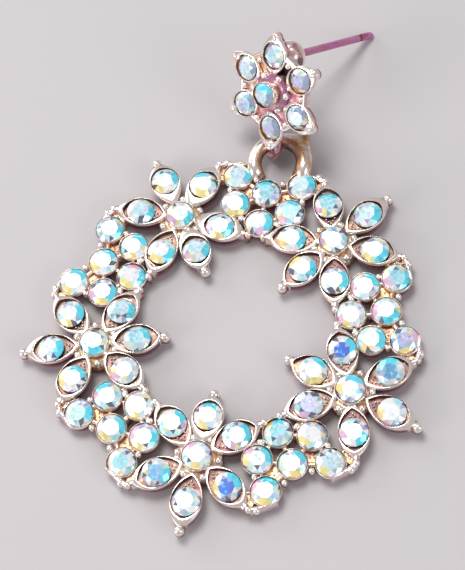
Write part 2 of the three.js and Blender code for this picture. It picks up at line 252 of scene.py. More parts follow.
class Casting:
    """Closed surfaces that make one cast piece, with two painted values at each point: painted
    shade, 0 on a proud edge and 1 deep in a recess, and painted pink reflection, 1 where the metal
    is painted pink."""

    def __init__(self):
        self.points, self.faces, self.hollow, self.blush = [], [], [], []
        self.count = 0

    def add(self, rings, hollow=0.0, blush=0.0, turn=np.eye(3), place=(0, 0, 0), poles=None):
        """Adds a grid of rings, rows x columns x 3, whose columns run anticlockwise round the
        direction in which the rows go on. A pair of poles closes its ends; without poles the
        last ring is joined to the first. Each painted value is one number, one for each row or
        one for each point."""
        rows, columns = rings.shape[:2]
        closed = poles is None
        row = np.arange(rows if closed else rows - 1)[:, None]
        column = np.arange(columns)[None, :]
        beside, after = (column + 1) % columns, (row + 1) % rows
        corners = np.broadcast_arrays(
            row * columns + column, row * columns + beside,
            after * columns + beside, after * columns + column,
        )
        faces = (np.stack(corners, axis=-1).reshape(-1, 4) + self.count).tolist()
        points = rings.reshape(-1, 3)
        values = [np.asarray(v, float) for v in (hollow, blush)]
        values = [np.broadcast_to(v[:, None] if v.ndim == 1 else v, (rows, columns)).ravel()
                  for v in values]
        if not closed:
            first, last = self.count + rows * columns, self.count + rows * columns + 1
            start, end = self.count, self.count + (rows - 1) * columns
            ring = np.arange(columns)
            past = (ring + 1) % columns
            fan = np.stack([np.full(columns, first), start + past, start + ring], axis=-1)
            cap = np.stack([np.full(columns, last), end + ring, end + past], axis=-1)
            faces += fan.tolist() + cap.tolist()
            points = np.vstack([points, np.array(poles, float)])
            values = [np.append(v, [v[0], v[-1]]) for v in values]
        self.points.append(points @ turn.T + np.array(place, float))
        self.faces += faces
        self.hollow.append(values[0])
        self.blush.append(values[1])
        self.count += len(points)

    def take(self, other):
        """Adds another casting's surfaces to this one."""
        self.points += other.points
        self.faces += [[i + self.count for i in face] for face in other.faces]
        self.hollow += other.hollow
        self.blush += other.blush
        self.count += other.count

    def moved(self, turn, place):
        """Turns and moves everything that the casting holds."""
        self.points = [points @ turn.T + np.array(place, float) for points in self.points]

    def piece(self, name, material, edge_angle):
        """The casting as one Blender object, smooth but for edges sharper than the angle."""
        mesh = bpy.data.meshes.new(name)
        mesh.from_pydata((np.vstack(self.points) * MM).tolist(), [], self.faces)
        for label, parts in (("hollow", self.hollow), ("blush", self.blush)):
            layer = mesh.attributes.new(label, "FLOAT", "POINT")
            layer.data.foreach_set("value", np.concatenate(parts).astype(np.float32))
        mesh.shade_smooth()
        mesh.set_sharp_from_angle(angle=math.radians(edge_angle))
        return placed(name, mesh, material)


def outline_arcs(shapes, inset, steps):
    """Pointed outlines seen from above, one for each row of inner length, outer length and half
    width, moved inwards by that row's inset: two arcs meet at the outer point on +X and two at
    the inner point, and all four keep their centres while their radius shrinks by the inset.
    Where both lengths equal the half width it is a circle.
    Returns rows x columns x 2, anticlockwise from the outer point."""
    inner, outer, half_width = shapes.T[:, :, None]

    def arc(length):
        """An arc's centre, radii and swing, from the outline's length on that side."""
        radius = (length ** 2 + half_width ** 2) / (2 * half_width)
        offset = radius - half_width
        small = radius - inset[:, None]
        return offset, small, np.arccos(np.clip(offset / small, -1, 1))

    share = np.linspace(0, 1, steps, endpoint=False)[None, :]
    front_offset, front, front_swing = arc(outer)
    rear_offset, rear, rear_swing = arc(inner)
    upper_front = np.stack([front * np.sin(front_swing * (1 - share)),
                            front * np.cos(front_swing * (1 - share)) - front_offset], axis=-1)
    upper_rear = np.stack([-rear * np.sin(rear_swing * share),
                           rear * np.cos(rear_swing * share) - rear_offset], axis=-1)
    lower_rear = np.stack([-rear * np.sin(rear_swing * (1 - share)),
                           rear_offset - rear * np.cos(rear_swing * (1 - share))], axis=-1)
    lower_front = np.stack([front * np.sin(front_swing * share),
                            front_offset - front * np.cos(front_swing * share)], axis=-1)
    return np.concatenate([upper_front, upper_rear, lower_rear, lower_front], axis=1)


def add_cell(casting, cell, pocket, outside, inside, steps=9, fall=0.0, **where):
    """A cell: the outside's profile, rows of inset, height, painted shade and painted pink
    reflection from the back up to the rim, is carried round the cell's outline, and the inside's,
    from the rim down to the floor, round the pocket's. The floor and the back close at the middle.
    Towards the outer point the heights fall with the square of the way."""
    inset, height, hollow, blush = np.array(outside + inside).T
    shapes = np.array([cell] * len(outside) + [pocket] * len(inside))
    flat = outline_arcs(shapes, inset, steps)
    lower = 1 - fall * np.clip(flat[:, :, 0] / cell[1], 0, 1) ** 2
    rings = np.concatenate([flat, (height[:, None] * lower)[:, :, None]], axis=-1)
    poles = [(0, 0, height[0]), (0, 0, height[-1])]
    casting.add(rings, hollow, blush, poles=poles, **where)


def add_turned(casting, profile, columns=14, **where):
    """A turned shape: rows of radius, height, painted shade and painted pink reflection, from the
    lower pole to the upper one, each carried round +Z as a circle."""
    radius, height, hollow, blush = np.array(profile).T
    angle = np.linspace(0, 2 * math.pi, columns, endpoint=False)
    rings = np.stack([
        radius[1:-1, None] * np.cos(angle), radius[1:-1, None] * np.sin(angle),
        np.broadcast_to(height[1:-1, None], (len(radius) - 2, columns)),
    ], axis=-1)
    poles = [(0, 0, height[0]), (0, 0, height[-1])]
    casting.add(rings, hollow[1:-1], blush[1:-1], poles=poles, **where)


def bead_profile(radius, top, bottom=0.0, blush=0.0, rows=5):
    """A post with a domed top: a straight side, then a quarter circle up to the pole. Its foot is
    painted in shade, and painted pink as a reflection as much as given.
    """
    swing = np.linspace(0, math.pi / 2, rows, endpoint=False)
    dome = [(radius * math.cos(a), top - radius + radius * math.sin(a), 0.0, 0.0) for a in swing]
    return [(0, bottom, 0.6, blush), (radius * 0.92, bottom, 0.6, blush),
            (radius, bottom + 0.05, 0.5, blush), *dome, (0, top, 0, 0)]


def plate_profile(radius, top, bottom=0.1, hollow=0.42, blush=0.0):
    """A thin round plate with a soft edge, painted evenly with the given shade and pink reflection.
    """
    return [(0, bottom, hollow, blush), (radius * 0.96, bottom, hollow, blush),
            (radius, bottom + 0.05, hollow, blush), (radius, top - 0.06, hollow, blush),
            (radius * 0.93, top, hollow, blush), (radius * 0.4, top - 0.04, hollow, blush),
            (0, top - 0.05, hollow, blush)]


def add_ridge(casting, start, end, width, top, bottom=0.0, hollow=0.3, narrowing=1.0,
              crown=None, blush=0.2):
    """A ridge between two points: an arched section, straight sides under a top that rises by
    its crown as a half ellipse, is carried along the line and narrows towards its end."""
    start, end = np.array(start, float), np.array(end, float)
    side = way_and_side(start, end)[1]
    swing = np.linspace(0, math.pi, 7)
    half = width / 2
    across = np.concatenate([[half], half * np.cos(swing), [-half]])
    crown = half if crown is None else crown
    arch = np.clip(top - crown + crown * np.sin(swing), bottom + 0.02, None)
    up = np.concatenate([[bottom], arch, [bottom]])
    share = np.linspace(0, 1, 4)[:, None]
    scale = 1 + (narrowing - 1) * share
    rings = (
        start + share[:, :, None] * (end - start)
        + (scale * across)[:, :, None] * side
        + np.broadcast_to(up, (4, len(up)))[:, :, None] * np.array([0, 0, 1.0])
    )
    middle = np.array([0, 0, (top + bottom) / 2])
    casting.add(rings, hollow, blush, poles=[start + middle, end + middle])


def sweep(path, first, second, reach):
    """A section carried along a path: each of its points lies at the path's point plus its reach,
    rows x columns x 2, along the first and the second unit vector of that row."""
    return (path[:, None, :] + reach[:, :, :1] * first[:, None, :]
            + reach[:, :, 1:] * second[:, None, :])


# Metal of the wreath

def outer_wall(rim, foot_inset=0.0):
    """A cell's outside from back to rim: a proud foot, a shallow groove and a round rim. Rows of
    inset, height, painted shade and painted pink reflection: the foot is painted pink and the
    groove painted in shade."""
    return [
        (0.30 + foot_inset, 0.00, 0.6, 0.8),
        (0.04 + foot_inset, 0.03, 0.2, 1.0),
        (0.00 + foot_inset, 0.12, 0.0, 1.0),
        (0.00 + foot_inset, rim * 0.17, 0.0, 0.8),
        (0.05 + foot_inset, rim * 0.22, 0.5, 0.5),
        (0.11 + foot_inset * 0.7, rim * 0.29, 0.75, 0.4),
        (0.12 + foot_inset * 0.4, rim * 0.56, 0.62, 0.2),
        (0.07 + foot_inset * 0.2, rim * 0.70, 0.45, 0.0),
        (0.01, rim * 0.78, 0.1, 0.0),
        (0.00, rim * 0.84, 0.0, 0.0),
        (0.01, rim - 0.12, 0.08, 0.0),
        (0.03, rim - 0.04, 0.12, 0.0),
        (0.07, rim, 0.1, 0.0),
    ]


def inner_wall(rim, depth, shade):
    """A cell's inside from rim to floor: the rim's inner edge, a thin line of painted shade under
    it, a straight side in deeper painted shade and a floor with as much painted shade as given."""
    return [
        (-0.03, rim, 0.0, 0.0),
        (-0.01, rim - 0.05, 0.35, 0.0),
        (0.00, rim - 0.14, 0.75, 0.1),
        (0.01, rim - depth * 0.6, shade, 0.04),
        (0.03, rim - depth, shade, 0.04),
        (0.30, rim - depth, shade, 0.04),
    ]


def add_petal(casting, rim, cell, pocket, tip, bead, depth, fall, shade, back=0.0,
              foot_inset=0.0, turn=np.eye(3), place=(0, 0, 0)):
    """A petal along +X: its pointed cell, the blunt tip past the cell's point with a crease and
    the bead at its end, and five grains spread in the pocket's empty tail."""
    shift = np.array(place, float) + turn @ np.array([0, 0, back])
    height = rim - back
    part = Casting()
    add_cell(part, cell, pocket, outer_wall(height, foot_inset), inner_wall(height, depth, shade),
             fall=fall)
    top = height * (1 - fall)
    foot = height * 0.42
    root = max(cell[1] - 0.8, pocket[1] + 0.02)
    add_ridge(part, (root, 0, 0), (tip - bead * 0.95, 0, 0), bead * 1.3, top + 0.02,
              foot, 0.02, 0.85, crown=0.2, blush=0.3)
    add_ridge(part, (tip - bead * 1.05, 0, 0), (tip - bead * 0.5, 0, 0), bead * 0.86, top - 0.1,
              foot, 0.5, 1.0, crown=0.15, blush=0.3)
    add_turned(part, bead_profile(bead / 2, top + 0.08, foot, 0.9), place=(tip - bead / 2, 0, 0))
    floor = height - depth
    tail = pocket[0] - CRYSTAL_RADIUS
    if tail > 0.5:
        for x, y in TAIL_GRAINS:
            add_turned(part, bead_profile(0.085, floor + depth * 0.5, floor - 0.1, rows=3),
                       columns=8, place=(x - pocket[0], y, 0))
    part.moved(turn, shift)
    casting.take(part)


def node_middle(node):
    """The middle of a CAD node's box, in millimetres."""
    low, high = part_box(node)
    return (np.array(low) + np.array(high)) / (2 * MM)


flower_hubs = [node_middle(f"flower_{k + 1}_hub_stone") for k in range(FLOWERS)]
wreath_middle = np.mean(flower_hubs, axis=0) * np.array([1, 1, 0])
flower_circle = float(np.linalg.norm((flower_hubs[0] - wreath_middle)[:2]))


def direction(point, start):
    """The angle in degrees of the way from one point to another, seen from above."""
    return math.degrees(math.atan2(point[1] - start[1], point[0] - start[0]))


flower_angles = [direction(hub, wreath_middle) for hub in flower_hubs]
cluster_angles = [angle - 180 / FLOWERS for angle in flower_angles]


def flat(point):
    """The point straight below, at height zero."""
    return np.array([point[0], point[1], 0.0])


def on_cluster(k, cup):
    """The middle of a cluster's cup, at height zero."""
    along, across = CLUSTER_CUPS[cup]
    reach = polar(along * flower_circle, cluster_angles[k])
    return wreath_middle + reach + polar(across * flower_circle, cluster_angles[k] + 90)


def petal_line(k, petal):
    """A petal's stone, at height zero, and the petal's angle."""
    stone = flat(node_middle(f"flower_{k + 1}_{petal}_stone"))
    return stone, direction(stone, flower_hubs[k])


def add_cup(casting, radius, pocket, rim, place, foot_inset=WALL_LEAN, depth=CELL_DEPTH):
    """A round cup: a cell whose outline and pocket are circles."""
    add_cell(casting, (radius,) * 3, (pocket,) * 3, outer_wall(rim, foot_inset),
             inner_wall(rim, depth, CUP_FLOOR_SHADE), place=place)


def add_flower(casting, k):
    """A flower: six petals round a raised hub cup, on a small plate with a bead between petals."""
    hub = flat(flower_hubs[k])
    angles = []
    for petal in PETALS:
        stone, angle = petal_line(k, petal)
        angles.append(angle)
        free, full = petal in ("outward", "inward"), petal in FULL_PETALS.get(k + 1, ())
        add_petal(casting, PETAL_RIM, FULL_CELL if full and free else PETAL_CELL,
                  FULL_POCKET if full else PETAL_POCKETS[petal],
                  FULL_TIP if full and free else PETAL_TIP, PETAL_BEAD if free else JOINED_BEAD,
                  depth=CELL_DEPTH, fall=PETAL_FALL, shade=PETAL_FLOOR_SHADE,
                  foot_inset=WALL_LEAN, turn=about_z(angle), place=stone)
    add_turned(casting, FLOWER_PLATE, columns=36, place=hub)
    add_cup(casting, CUP_RADIUS, CUP_POCKET, HUB_RIM, hub)
    order = np.sort(np.array(angles) % 360)
    gaps = (order + np.append(order[1:], order[0] + 360)) / 2
    for angle in gaps:
        add_turned(casting, bead_profile(*GAP_BEAD), place=hub + polar(GAP_BEAD_REACH, angle))


def add_joint(casting, start, end, top, from_cup=True):
    """A ridge that joins a cup's middle to another's: low under the cups' floors, and higher
    from one cup's wall to the other's."""
    wall = way_and_side(start, end)[0] * (CUP_POCKET + 0.02)
    add_ridge(casting, start, end, JOINT_WIDTH, LOW_JOINT_TOP)
    add_ridge(casting, start + wall if from_cup else start, end - wall, JOINT_WIDTH, top)


def add_cluster(casting, k):
    """A cluster: six round cups, the ridges that join them, and grains in the notches between
    two cups on the cluster's outside."""
    middle = np.mean([on_cluster(k, cup) for cup in CLUSTER_CUPS], axis=0)
    for cup in CLUSTER_CUPS:
        add_cup(casting, CUP_RADIUS, CUP_POCKET, CLUSTER_RIM, on_cluster(k, cup))
    for pair in (("b_left", "d_left"), ("b_right", "d_right")):
        corner = np.mean([on_cluster(k, "c"), *(on_cluster(k, cup) for cup in pair)], axis=0)
        add_turned(casting, plate_profile(0.85, 0.92, hollow=0.5, blush=0.15), columns=20,
                   place=corner)
        for angle in PLATE_GRAINS:
            grain = corner + polar(PLATE_GRAIN_REACH, angle + PLATE_GRAIN_STEP * k)
            add_turned(casting, bead_profile(0.1, 1.04, 0.7, rows=3), columns=8, place=grain)
    for first, second in CLUSTER_JOINTS:
        start, end = on_cluster(k, first), on_cluster(k, second)
        add_joint(casting, start, end, HIGH_JOINT_TOP)
        if (first, second) not in INNER_JOINTS:
            side = way_and_side(start, end)[1]
            outwards = np.sign(np.dot((start + end) / 2 - middle, side))
            notch = (start + end) / 2 + side * outwards * NOTCH_REACH
            add_turned(casting, bead_profile(0.27, CLUSTER_RIM + 0.06, 0.75, 0.5), place=notch)


def add_webs(casting, k):
    """What joins a cluster to the flowers beside it. From each outer petal's tip a low plate
    with two raised edges and two beads runs to the outer cup, and from each inner petal a ridge
    with two grains runs to the cup beside it."""
    for flower, left in ((k, True), ((k + 1) % FLOWERS, False)):
        outer, outer_angle = petal_line(flower, "outer_right" if left else "outer_left")
        inner, inner_angle = petal_line(flower, "inner_right" if left else "inner_left")
        cup = on_cluster(k, "d_left" if left else "d_right")
        tip = outer + polar(PETAL_TIP - 0.31, outer_angle)
        along, side = way_and_side(tip, cup)
        if np.dot(side, tip - wreath_middle) < 0:
            side = -side
        shore = cup - along * (CUP_RADIUS - 0.15)
        wide = outer + polar(1.3, outer_angle)
        edge = (tip + shore) / 2 + side * 0.42
        add_ridge(casting, wide - side * 0.25, shore - side * 0.2, WEB_WIDTH, WEB_TOP, WEB_FOOT,
                  0.45, crown=0.1, blush=0.0)
        add_ridge(casting, tip, edge, 0.56, 1.6, 0.5, 0.05, blush=0.3)
        add_ridge(casting, edge, cup + side * (CUP_RADIUS + 0.02), 0.52, 1.5, 0.5, 0.05, 0.45,
                  blush=0.3)
        add_ridge(casting, wide - side * 0.8, cup - side * (CUP_RADIUS - 0.45) - along * 0.91,
                  0.24, 1.36, 0.3, 0.25)
        add_turned(casting, bead_profile(0.34, 1.68, 0.7, 0.6), place=edge + side * 0.12)
        for share, off in WEB_GRAINS:
            grain = wide + (shore - wide) * share + side * off
            add_turned(casting, bead_profile(0.13, 1.34, 1.0, rows=3), columns=8, place=grain)
        near = on_cluster(k, "b_left" if left else "b_right")
        point = inner + polar(CUP_RADIUS, inner_angle)
        add_joint(casting, point, near, INNER_WEB_TOP, from_cup=False)
        for cup_name in ("a", "b_left" if left else "b_right"):
            cup_place = on_cluster(k, cup_name)
            petal_tip = inner + polar(PETAL_TIP - 0.5, inner_angle)
            way = way_and_side(petal_tip, cup_place)[0]
            grain = cup_place - way * (CUP_RADIUS + 0.2)
            add_turned(casting, bead_profile(0.25, 1.66), place=grain)


def add_ring(casting):
    """The ring: a round section carried along an arch over the top of the wreath. On its outer
    side the section reaches further at the corner, which stands proud as a blunt point. The
    corner and the ends fade with an exponential of the angle, and the thicker right side sets
    in along a logistic curve. Painted shade darkens the inner side most, and also the right
    side, the corner and the ends."""
    top_cup = on_cluster(0, "c")
    middle = np.array([RING_SIDE, top_cup[1] + RING_PAST_CUP, RING_HEIGHT])
    degrees = np.linspace(*RING_ENDS, 57)
    angle = np.radians(degrees)[:, None]
    outwards = np.hstack([np.cos(angle), np.sin(angle), np.zeros_like(angle)])
    up = np.broadcast_to([0.0, 0.0, 1.0], outwards.shape)
    swing = np.linspace(0, 2 * math.pi, 18, endpoint=False)
    corner = np.exp(-np.abs(degrees - RING_CORNER) / RING_CORNER_FADE)
    rightness = 1 + np.exp((degrees - RING_RIGHT_FROM) / RING_RIGHT_FADE)
    right = 1 + RING_RIGHT_MORE / rightness
    rise, reach = RING_WIRE / 2 * np.cos(swing), RING_WIRE / 2 * np.sin(swing)
    proud = np.clip(np.sin(swing), 0, 1) ** 0.8
    section = np.stack([
        right[:, None] * rise[None, :] * (1 - 0.25 * corner[:, None] * proud[None, :]),
        right[:, None] * reach[None, :] + corner[:, None] * proud[None, :],
    ], axis=-1)
    path = middle + RING_RADIUS * outwards
    ends = (np.exp(-np.abs(degrees - RING_ENDS[0]) / RING_END_FADE)
            + np.exp(-np.abs(degrees - RING_ENDS[1]) / RING_END_FADE))
    path = path - RING_DROP * ends[:, None] * up
    # Painted shade: most on the inner side, more on the right side, at the corner and at the ends
    inwards = np.clip(-np.sin(swing) - 0.1, 0, 1)
    right_side_shade = 0.16 / rightness
    shade = (0.06 + right_side_shade + 0.08 * ends + 0.26 * corner)[:, None] + 0.62 * inwards[None, :]
    casting.add(sweep(path, up, outwards, section), shade, 0.05, poles=[path[0], path[-1]])


# Metal of the stud

def stud_petal_angle(i):
    """Where a petal of the stud points, clockwise from the top one, in the stud's own frame."""
    return 90 - STUD_STEP * i


def add_stud_flower(casting):
    """The stud's flower: six leaf shaped petals with big beads, filled valleys between them, sunk
    plates nearer to the hub, a raised hub cup on a collar, and grains round it. One plate lies
    deep and is painted dark with full shade, the one on the other side of the top petal is
    painted gold brown with no pink, and the other plates and the collar are painted pink as a
    reflection."""
    for i in range(STUD_PETALS):
        angle = stud_petal_angle(i)
        gap = angle - STUD_STEP / 2
        golden = i == STUD_GOLDEN_GAP
        add_petal(casting, 0.0, STUD_CELL, STUD_POCKET, STUD_TIP, STUD_BEAD,
                  depth=STUD_CELL_DEPTH, fall=0.0, shade=STUD_FLOOR_SHADE, back=STUD_BACK,
                  foot_inset=STUD_WALL_LEAN, turn=about_z(angle),
                  place=polar(STUD_REACH, angle))
        # Each plate's top, painted shade and painted pink reflection
        top, tone, pink = STUD_PLATES.get(i, STUD_PLAIN_PLATE)
        add_turned(casting, plate_profile(1.0, top, STUD_PLATE_FOOT, tone, pink), columns=20,
                   place=polar(STUD_PLATE_REACH, gap))
        if golden:
            for off in (-0.3, 0.3):
                add_ridge(casting, polar(1.5, gap) + polar(off, gap + 90),
                          polar(2.9, gap) + polar(off, gap + 90), 0.2, -0.05, -0.5, 0.35,
                          blush=0.0)
        add_ridge(casting, polar(STUD_VALLEY_REACH, gap + STUD_VALLEY_SWING),
                  polar(STUD_VALLEY_REACH, gap - STUD_VALLEY_SWING), 0.62, -0.04, -0.7,
                  0.3 if golden else 0.05, blush=0.0 if golden else 0.3)
        add_turned(casting, bead_profile(0.26, 0.14, -0.6, 0.0 if golden else 0.3),
                   place=polar(STUD_VALLEY_BEAD, gap))
        add_turned(casting, bead_profile(0.3, 0.4, -0.9, 0.3), place=polar(STUD_HUB_BEAD, gap))
        add_turned(casting, bead_profile(0.2, 0.16, -0.9, 0.5),
                   place=polar(STUD_HUB_GRAIN, gap + 22))
    rise = STUD_HUB_RIM - STUD_BACK
    add_cup(casting, STUD_CUP_RADIUS, STUD_CUP_POCKET, rise, (0, 0, STUD_BACK), 0.0)
    add_turned(casting, [(0, STUD_BACK, 0.8, 0.8), (1.75, STUD_BACK, 0.7, 0.9),
                         (1.8, STUD_BACK + 0.1, 0.5, 0.9), (1.75, STUD_BACK + 1.2, 0.1, 0.9),
                         (1.2, STUD_BACK + 1.5, 0.1, 0.7), (0, STUD_BACK + 1.5, 0.8, 0.3)],
               columns=32)


def add_loop(casting):
    """The loop: a round wire carried along a closed oval, two straight strands joined by two half
    circles, worked out from the length run along it."""
    end = LOOP_APART / 2
    straight = LOOP_LENGTH - LOOP_APART
    round_part = math.pi * end
    run = np.linspace(0, 2 * (straight + round_part), 72, endpoint=False)
    low = (run - straight) / end
    back = run - straight - round_part
    high = (back - straight) / end
    parts = [run < straight, back < 0, back < straight]
    y = np.select(parts, [-run, -straight - end * np.sin(low), -straight + back],
                  end * np.sin(high))
    z = np.select(parts, [0 * run, end * np.cos(low) - end, 0 * run - LOOP_APART],
                  -end - end * np.cos(high))
    path = np.stack([np.zeros_like(run), y, z], axis=-1)
    tangent = np.roll(path, -1, axis=0) - np.roll(path, 1, axis=0)
    tangent /= np.linalg.norm(tangent, axis=1, keepdims=True)
    side = np.broadcast_to([1.0, 0.0, 0.0], path.shape)
    out = np.cross(tangent, side)
    swing = np.linspace(0, 2 * math.pi, 14, endpoint=False)
    circle = np.stack([np.cos(swing), np.sin(swing)], axis=-1) * LOOP_WIRE / 2
    section = np.broadcast_to(circle, (len(run), *circle.shape))
    # Painted pink reflection, strongest where the run starts and fading along it
    blush = 0.5 + 0.35 * np.cos(run / run[-1] * math.pi)
    casting.add(sweep(path, side, out, section), 0.12, blush, turn=turned_matrix(LOOP_TURNS),
                place=LOOP_PLACE)


def add_pad_and_post(casting):
    """The pad behind the stud with its soldered foot, and the ear post that leans from it, with
    a groove near its blunt end. The post is painted pink all over as a reflection, and its groove
    in shade."""
    back = PAD_PLACE[2]
    pad = [
        (0, back, 0.05, 0.1), (PAD_RADIUS - 0.12, back, 0.0, 0.1),
        (PAD_RADIUS - 0.02, back + 0.06, 0.0, 0.1), (PAD_RADIUS, back + 0.2, 0.0, 0.1),
        (PAD_RADIUS - 0.03, back + 0.36, 0.0, 0.1), (PAD_RADIUS - 0.14, back + 0.42, 0.0, 0.1),
        (1.15, back + 0.44, 0.0, 0.1), (0.98, back + 0.55, 0.1, 0.1),
        (0.93, STUD_BACK + 0.3, 0.3, 0.4), (0, STUD_BACK + 0.3, 0.3, 0.4),
    ]
    add_turned(casting, pad, columns=40, place=(0, PAD_PLACE[1], 0))
    radius = POST_RADIUS
    post = [
        (0, -POST_LENGTH, 0.1, 1), (radius * 0.35, -POST_LENGTH, 0.0, 1),
        (radius * 0.8, -POST_LENGTH + 0.28, 0.0, 1), (radius, -POST_LENGTH + 0.55, 0.0, 1),
        (radius, -POST_LENGTH + 1.9, 0.1, 1), (radius * 0.84, -POST_LENGTH + 2.0, 0.5, 1),
        (radius * 0.84, -POST_LENGTH + 2.25, 0.5, 1), (radius, -POST_LENGTH + 2.35, 0.1, 1),
        (radius, -6.0, 0.1, 1), (radius, -0.35, 0.1, 1), (radius * 1.5, -0.06, 0.3, 0.9),
        (radius * 1.7, 0.1, 0.3, 0.9), (0, 0.1, 0.3, 0.9),
    ]
    add_turned(casting, post, columns=20, turn=turned_matrix(POST_LEANS), place=PAD_PLACE)


# Crystals

# Crystal colours: tones of the rainbow coat, also used for painted reflections and highlights
COATINGS = {
    "white": (1.0, 0.99, 0.98),
    "ice": (0.72, 0.93, 1.0),
    "cyan": (0.14, 0.80, 0.98),
    "aqua": (0.46, 0.88, 0.96),
    "blue": (0.05, 0.17, 0.72),
    "steel": (0.16, 0.40, 0.66),
    "lilac": (0.62, 0.56, 0.84),
    "pink": (0.88, 0.56, 0.74),
    "straw": (1.0, 0.84, 0.36),
    "mint": (0.62, 0.96, 0.80),
    "smoke": (0.16, 0.16, 0.22),
    "pewter": (0.40, 0.46, 0.62),
}


def ring_of(radius, height, count, turn=0.0):
    """Points evenly round a circle at one height."""
    angle = np.linspace(0, 2 * math.pi, count, endpoint=False) + turn
    return np.stack([radius * np.cos(angle), radius * np.sin(angle),
                     np.full(count, float(height))], axis=-1)


def cut_crystal(radius):
    """A brilliant: an eight sided table split into inner and outer wedges, eight stars, eight
    kites, sixteen upper halves, a girdle band and sixteen pavilion facets. The stars' outer
    corners lie close to the kites' planes, halfway from the table's corners to the girdle, so
    that the kites are all but flat."""
    around = 2 * FACETS
    half_step = math.pi / FACETS
    table, crown = TABLE_SHARE * radius, CROWN_SHARE * radius
    middle = 0.5 * (table + radius) / math.cos(half_step)
    points = np.vstack([
        [[0, 0, crown]],
        ring_of(table * 0.5, crown, FACETS, half_step),
        ring_of(table, crown, FACETS),
        ring_of(middle * 0.985, crown * 0.53, FACETS, half_step),
        ring_of(radius, 0, around),
        ring_of(radius, -GIRDLE_SHARE * radius, around),
        [[0, 0, -(GIRDLE_SHARE + PAVILION_SHARE) * radius]],
    ])
    i, j = np.arange(FACETS), np.arange(around)
    inner_row, edge_row, star_row = 1, 1 + FACETS, 1 + 2 * FACETS
    top_row, low_row, culet = 1 + 3 * FACETS, 1 + 5 * FACETS, 1 + 7 * FACETS
    inner, edge, star = inner_row + i, edge_row + i, star_row + i
    next_inner, next_edge = inner_row + (i + 1) % FACETS, edge_row + (i + 1) % FACETS
    last_star = star_row + (i - 1) % FACETS
    corner, between, next_corner = (top_row + (2 * i + step) % around for step in range(3))
    top, low = top_row + j, low_row + j
    next_top, next_low = top_row + (j + 1) % around, low_row + (j + 1) % around
    faces = [
        np.stack([0 * i, inner, next_inner], axis=-1),
        np.stack([inner, edge, next_edge], axis=-1),
        np.stack([inner, next_edge, next_inner], axis=-1),
        np.stack([edge, star, next_edge], axis=-1),
        np.stack([edge, last_star, corner], axis=-1),
        np.stack([edge, corner, star], axis=-1),
        np.stack([star, corner, between], axis=-1),
        np.stack([star, between, next_corner], axis=-1),
    ]
    sides = np.stack([top, low, next_low, next_top], axis=-1)
    pavilion = np.stack([low, 0 * j + culet, next_low], axis=-1)
    triangles = np.vstack([*faces, pavilion])
    return points, triangles, sides


def picked(rng, chances, count=None):
    """Coating colours by chance, from a mapping of their names to their shares: one colour, or
    as many as the count says."""
    shares = np.array(list(chances.values()), float)
    drawn = rng.choice(list(chances), count, p=shares / shares.sum())
    return np.array([COATINGS[name] for name in drawn] if count else COATINGS[drawn])


# Chances of the tones on tables, on cool tables from some height up, on wedges and on crowns
TABLE_CHANCES = {"white": 0.4, "ice": 0.2, "aqua": 0.2, "mint": 0.07, "lilac": 0.08, "pewter": 0.05}
COOL_TABLE_CHANCES = {"aqua": 0.5, "ice": 0.3, "mint": 0.1, "white": 0.1}
COOL_FROM = wreath_middle[1] + 6.5
WEDGE_CHANCES = {"ice": 3, "cyan": 2, "lilac": 2}
STUD_TABLE_CHANCES = {"pewter": 0.4, "lilac": 0.3, "ice": 0.3}
CROWN_CHANCES = {"white": 0.28, "ice": 0.24, "aqua": 0.14, "lilac": 0.08, "pewter": 0.07,
                 "mint": 0.06, "straw": 0.05, "smoke": 0.08}
# Crystals whose tone isn't left to chance, or that draw from other tones
MOODS = {
    "flower_3_inner_left": "blue",
    "flower_4_outer_left": "blue",
    "flower_3_outer_left": "steel",
    "flower_4_outer_right": "steel",
    "stud_hub": "stud_hub",
    **{f"stud_petal_{i + 1}": "stud" for i in range(STUD_PETALS)},
}
# Crystals that sit askew by a known amount, in degrees about X and Y, so that their tone shows
SET_TILTS = {
    "flower_3_inner_left": (12.0, 0.0),
    "flower_3_outer_left": (12.0, 0.0),
    "flower_4_outer_left": (9.0, 0.0),
    "flower_4_outer_right": (9.0, 0.0),
    "stud_petal_2": (5.0, -4.0),
}


